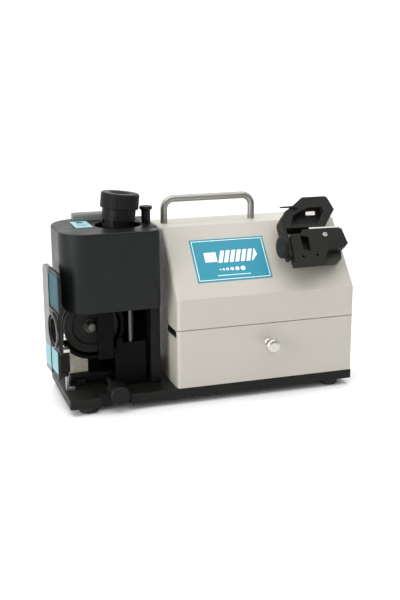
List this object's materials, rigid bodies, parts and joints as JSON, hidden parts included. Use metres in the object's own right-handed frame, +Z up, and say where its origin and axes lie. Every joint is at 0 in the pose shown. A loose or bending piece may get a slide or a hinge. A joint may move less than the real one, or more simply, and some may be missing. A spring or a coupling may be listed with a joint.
{
  "type": "drill bit sharpener",
  "caption": "Bench drill bit sharpener: grey housing with a drawer and a setting fixture, and a covered grinding head with a top port and a side port on a common base plate.",
  "frame": {"origin": "centre of the machine in plan, at the level of the underside of the feet", "axes": "+Z up, +X to the right as the user faces the machine, +Y towards the back, so the drawer opens towards -Y"},
  "size_m": [0.4162, 0.164, 0.2808],
  "materials": {
    "housing_paint": "light warm grey, satin texture",
    "black_paint": "black, satin",
    "base_paint": "very dark olive grey, satin",
    "charcoal_plastic": "charcoal, fine texture",
    "black_plastic": "black, moulded",
    "panel_grey": "light blue grey",
    "steel": "machined",
    "bright_steel": "polished",
    "aluminium": "satin",
    "zinc_sheet": "galvanised",
    "cream_cast": "cream",
    "bronze": "machined",
    "rubber": "moulded",
    "teal_label": "printed film",
    "blue_label": "printed film",
    "board": "lacquered board",
    "abrasive": "abrasive grit"
  },
  "bodies": {
    "base": {"base_plate": "base_paint", "rubber_feet": "rubber", "foot_screws": "steel", "housing_shell": "housing_paint", "rear_panel": "housing_paint", "rear_screws": "steel", "deck_plate": "zinc_sheet", "control_board": "board", "power_module": "black_plastic", "name_label": "teal_label", "carry_handle": "aluminium", "handle_screws": "steel", "drawer_rails": "black_paint", "column_plate": "black_paint", "port_bridge": "black_paint", "support_bar": "black_paint", "head_cover": "charcoal_plastic", "cover_label": "blue_label", "rear_lip": "panel_grey", "rear_shield": "black_paint", "port_bush": "black_paint", "guide_rails": "steel", "feed_bracket": "black_paint", "guide_rod": "bright_steel", "rod_block": "black_paint", "swivel_pin": "steel", "pivot_block": "black_paint", "rest_bar": "bright_steel", "pivot_bracket": "zinc_sheet", "fixture_body": "black_paint", "fixture_front": "black_paint", "jaw_plate": "bright_steel"},
    "drawer": {"drawer_front": "housing_paint", "drawer_tray": "zinc_sheet", "drawer_runners": "steel", "drawer_knob": "bright_steel"},
    "feed_wheel": {"feed_knob": "black_plastic", "feed_screw": "steel"},
    "head": {"carriage": "aluminium", "feed_nut": "bronze", "motor_cradle": "cream_cast", "motor_body": "black_paint", "motor_cap": "black_paint", "spindle_bearings": "steel", "wheel_guard": "black_paint"},
    "spindle_set": {"spindle": "steel", "grinding_wheel": "abrasive", "wheel_nut": "bright_steel"},
    "holder": {"tool_holder": "black_paint"},
    "ring_nut": {"clamp_ring": "black_paint"},
    "collet_body": {"collet": "steel"},
    "plunger": {"plunger_knob": "black_plastic"},
    "side_port": {"port_panel": "panel_grey", "side_port_bush": "black_paint", "side_port_ring": "bright_steel", "port_labels": "teal_label"},
    "gauge": {"gauge_loop": "black_paint"},
    "gauge_clamp": {"gauge_knob": "black_paint"},
    "finger": {"stop_finger": "black_paint"},
    "rocker": {"rocker_switch": "black_plastic"}
  },
  "joints": [
    {"name": "drawer_slide", "type": "slide", "parent": "base", "child": "drawer", "axis": [0, -1, 0], "range_m": [0, 0.1]},
    {"name": "feed_knob_turn", "type": "hinge", "parent": "base", "child": "feed_wheel", "pos_m": [-0.1269, -0.058, 0.024], "axis": [0, -1, 0], "range_deg": [-1205, 1205]},
    {"name": "head_feed", "type": "slide", "parent": "base", "child": "head", "axis": [0, -1, 0], "range_m": [-0.005, 0.005]},
    {"name": "spindle_spin", "type": "hinge", "parent": "head", "child": "spindle_set", "pos_m": [-0.1509, 0.002, 0.105], "axis": [0, -1, 0], "continuous": true},
    {"name": "holder_turn", "type": "hinge", "parent": "base", "child": "holder", "pos_m": [-0.1069, 0.012, 0.236], "axis": [0.1045, 0, 0.9945], "continuous": true},
    {"name": "clamp_ring_turn", "type": "hinge", "parent": "holder", "child": "ring_nut", "pos_m": [-0.10376, 0.012, 0.26584], "axis": [0.1045, 0, 0.9945], "range_deg": [0, 272]},
    {"name": "collet_draw", "type": "slide", "parent": "holder", "child": "collet_body", "axis": [0.1045, 0, 0.9945], "range_m": [0, 0.0012]},
    {"name": "plunger_pull", "type": "slide", "parent": "base", "child": "plunger", "axis": [0, 0, 1], "range_m": [0, 0.006], "stiffness_N_per_m": 400},
    {"name": "side_port_swing", "type": "hinge", "parent": "base", "child": "side_port", "pos_m": [-0.1924, -0.022, 0.057], "axis": [0, 0, 1], "range_deg": [-6, 4]},
    {"name": "gauge_slide", "type": "slide", "parent": "base", "child": "gauge", "axis": [0, 0.6439, 0.7651], "range_m": [0, 0.009]},
    {"name": "gauge_knob_turn", "type": "hinge", "parent": "base", "child": "gauge_clamp", "pos_m": [0.1111, -0.04274, 0.20114], "axis": [-1, 0, 0], "range_deg": [0, 180]},
    {"name": "stop_finger_swing", "type": "hinge", "parent": "gauge", "child": "finger", "pos_m": [0.1381, -0.01036, 0.2497], "axis": [0, -0.7651, 0.6439], "range_deg": [-25, 25]},
    {"name": "switch_rock", "type": "hinge", "parent": "base", "child": "rocker", "pos_m": [0.0446, 0.073, 0.128], "axis": [1, 0, 0], "range_deg": [0, 12]}
  ],
  "couplings": [
    {"joint": "feed_knob_turn", "follows": "head_feed", "rad_per_m": -4188.8},
    {"joint": "clamp_ring_turn", "follows": "collet_draw", "rad_per_m": 3927}
  ]
}
